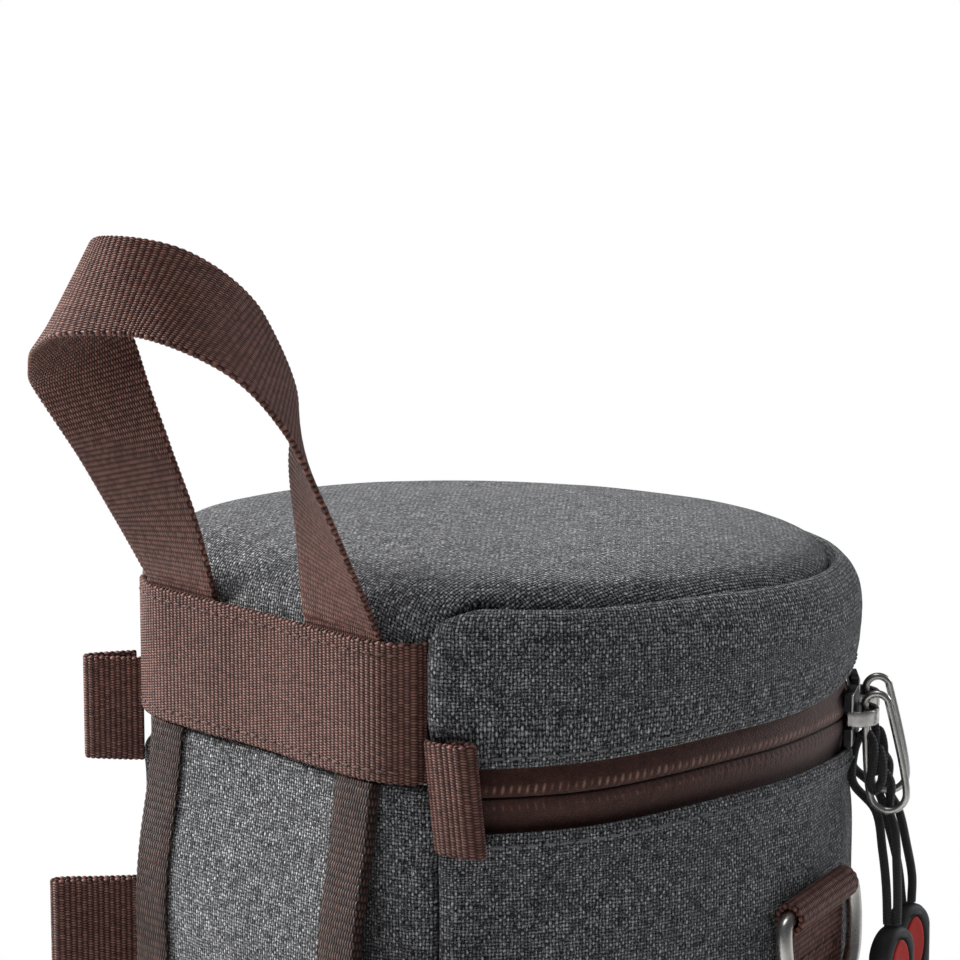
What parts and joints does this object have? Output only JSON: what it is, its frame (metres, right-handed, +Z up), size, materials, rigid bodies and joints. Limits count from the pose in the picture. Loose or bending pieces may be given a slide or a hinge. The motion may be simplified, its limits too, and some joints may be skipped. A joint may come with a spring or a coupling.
{
  "type": "lens shoulder bag",
  "caption": "Padded D-shaped canvas bag for a camera lens, with a zipped hinged lid, webbing top handle, belt flap, side rings and two zip pulls.",
  "frame": {"origin": "middle of the flat base, on the surface that the bag stands on, 64 mm in front of the flat back", "axes": "+Z up through the lid, -Y to the round front, +Y to the flat back with the belt flap, +X to the right of someone who looks at the front"},
  "size_m": [0.1394, 0.1707, 0.2794],
  "materials": {
    "canvas": "grey melange plain-weave canvas, matt",
    "webbing": "brown ribbed nylon webbing, slight sheen",
    "binding": "brown binding tape, matt",
    "zip_tape": "brown coated zip tape, semi-gloss",
    "padding": "closed-cell foam",
    "lining": "dark brushed tricot",
    "board": "stiff sheet",
    "slider_metal": "black enamelled zinc, bright edges",
    "nickel": "satin nickel plate",
    "cord": "black round cord",
    "pull_rubber": "moulded soft rubber, matt",
    "red_inlay": "moulded red oval"
  },
  "bodies": {
    "bag": {"base_panel": "canvas", "base_board": "board", "base_padding": "padding", "back_panel": "canvas", "side_panel": "canvas", "body_padding": "padding", "body_lining": "lining", "lid_hinge_strip": "lining", "lower_zip_tape": "zip_tape", "lower_zip_chain": "zip_tape", "belt_flap": "canvas", "flap_binding_left": "binding", "flap_binding_right": "binding", "zip_end_tab_left": "webbing", "zip_end_tab_right": "webbing", "rear_tab_left": "webbing", "rear_tab_right": "webbing", "ring_tab_left": "webbing", "ring_tab_right": "webbing"},
    "lid": {"lid_top": "canvas", "lid_gusset": "canvas", "lid_padding": "padding", "gusset_padding": "padding", "lid_lining": "lining", "upper_zip_tape": "zip_tape", "upper_zip_chain": "zip_tape", "back_band": "webbing", "handle_foot_left": "webbing", "handle_foot_right": "webbing"},
    "handle": {"handle": "webbing"},
    "slider_a": {"slider_a": "slider_metal"},
    "slider_b": {"slider_b": "slider_metal"},
    "pull_a": {"pull_ring_a": "nickel", "pull_cord_a": "cord", "pull_end_a": "pull_rubber", "pull_inlay_a": "red_inlay"},
    "pull_b": {"pull_ring_b": "nickel", "pull_cord_b": "cord", "pull_end_b": "pull_rubber", "pull_inlay_b": "red_inlay"},
    "ring_left": {"carrying_ring_left": "nickel"},
    "ring_right": {"carrying_ring_right": "nickel"}
  },
  "joints": [
    {"name": "lid_hinge", "type": "hinge", "parent": "bag", "child": "lid", "pos_m": [0, 0.068, 0.1845], "axis": [-1, 0, 0], "range_deg": [0, 105], "deforming": ["lid_hinge_strip", "zip_end_tab_left", "zip_end_tab_right"]},
    {"name": "handle_fold", "type": "hinge", "parent": "lid", "child": "handle", "pos_m": [0, 0.0653, 0.2106], "axis": [-1, 0, 0], "range_deg": [-10, 45], "stiffness_Nm_per_rad": 0.15},
    {"name": "slider_a_travel", "type": "hinge", "parent": "bag", "child": "slider_a", "pos_m": [0, 0, 0.185], "axis": [0, 0, 1], "range_deg": [-35, 0]},
    {"name": "slider_b_travel", "type": "hinge", "parent": "bag", "child": "slider_b", "pos_m": [0, 0, 0.185], "axis": [0, 0, 1], "range_deg": [0, 146]},
    {"name": "pull_a_swing", "type": "hinge", "parent": "slider_a", "child": "pull_a", "pos_m": [-0.05967, -0.0324, 0.185], "axis": [-0.4772, 0.8788, 0], "range_deg": [0, 120]},
    {"name": "pull_b_swing", "type": "hinge", "parent": "slider_b", "child": "pull_b", "pos_m": [-0.05163, -0.0441, 0.185], "axis": [-0.6494, 0.7604, 0], "range_deg": [0, 120]},
    {"name": "ring_left_swing", "type": "hinge", "parent": "bag", "child": "ring_left", "pos_m": [-0.06477, -0.01318, 0.1555], "axis": [-0.1994, 0.9799, 0], "range_deg": [0, 165]},
    {"name": "ring_right_swing", "type": "hinge", "parent": "bag", "child": "ring_right", "pos_m": [0.06477, -0.01318, 0.1555], "axis": [-0.1994, -0.9799, 0], "range_deg": [0, 165]}
  ]
}
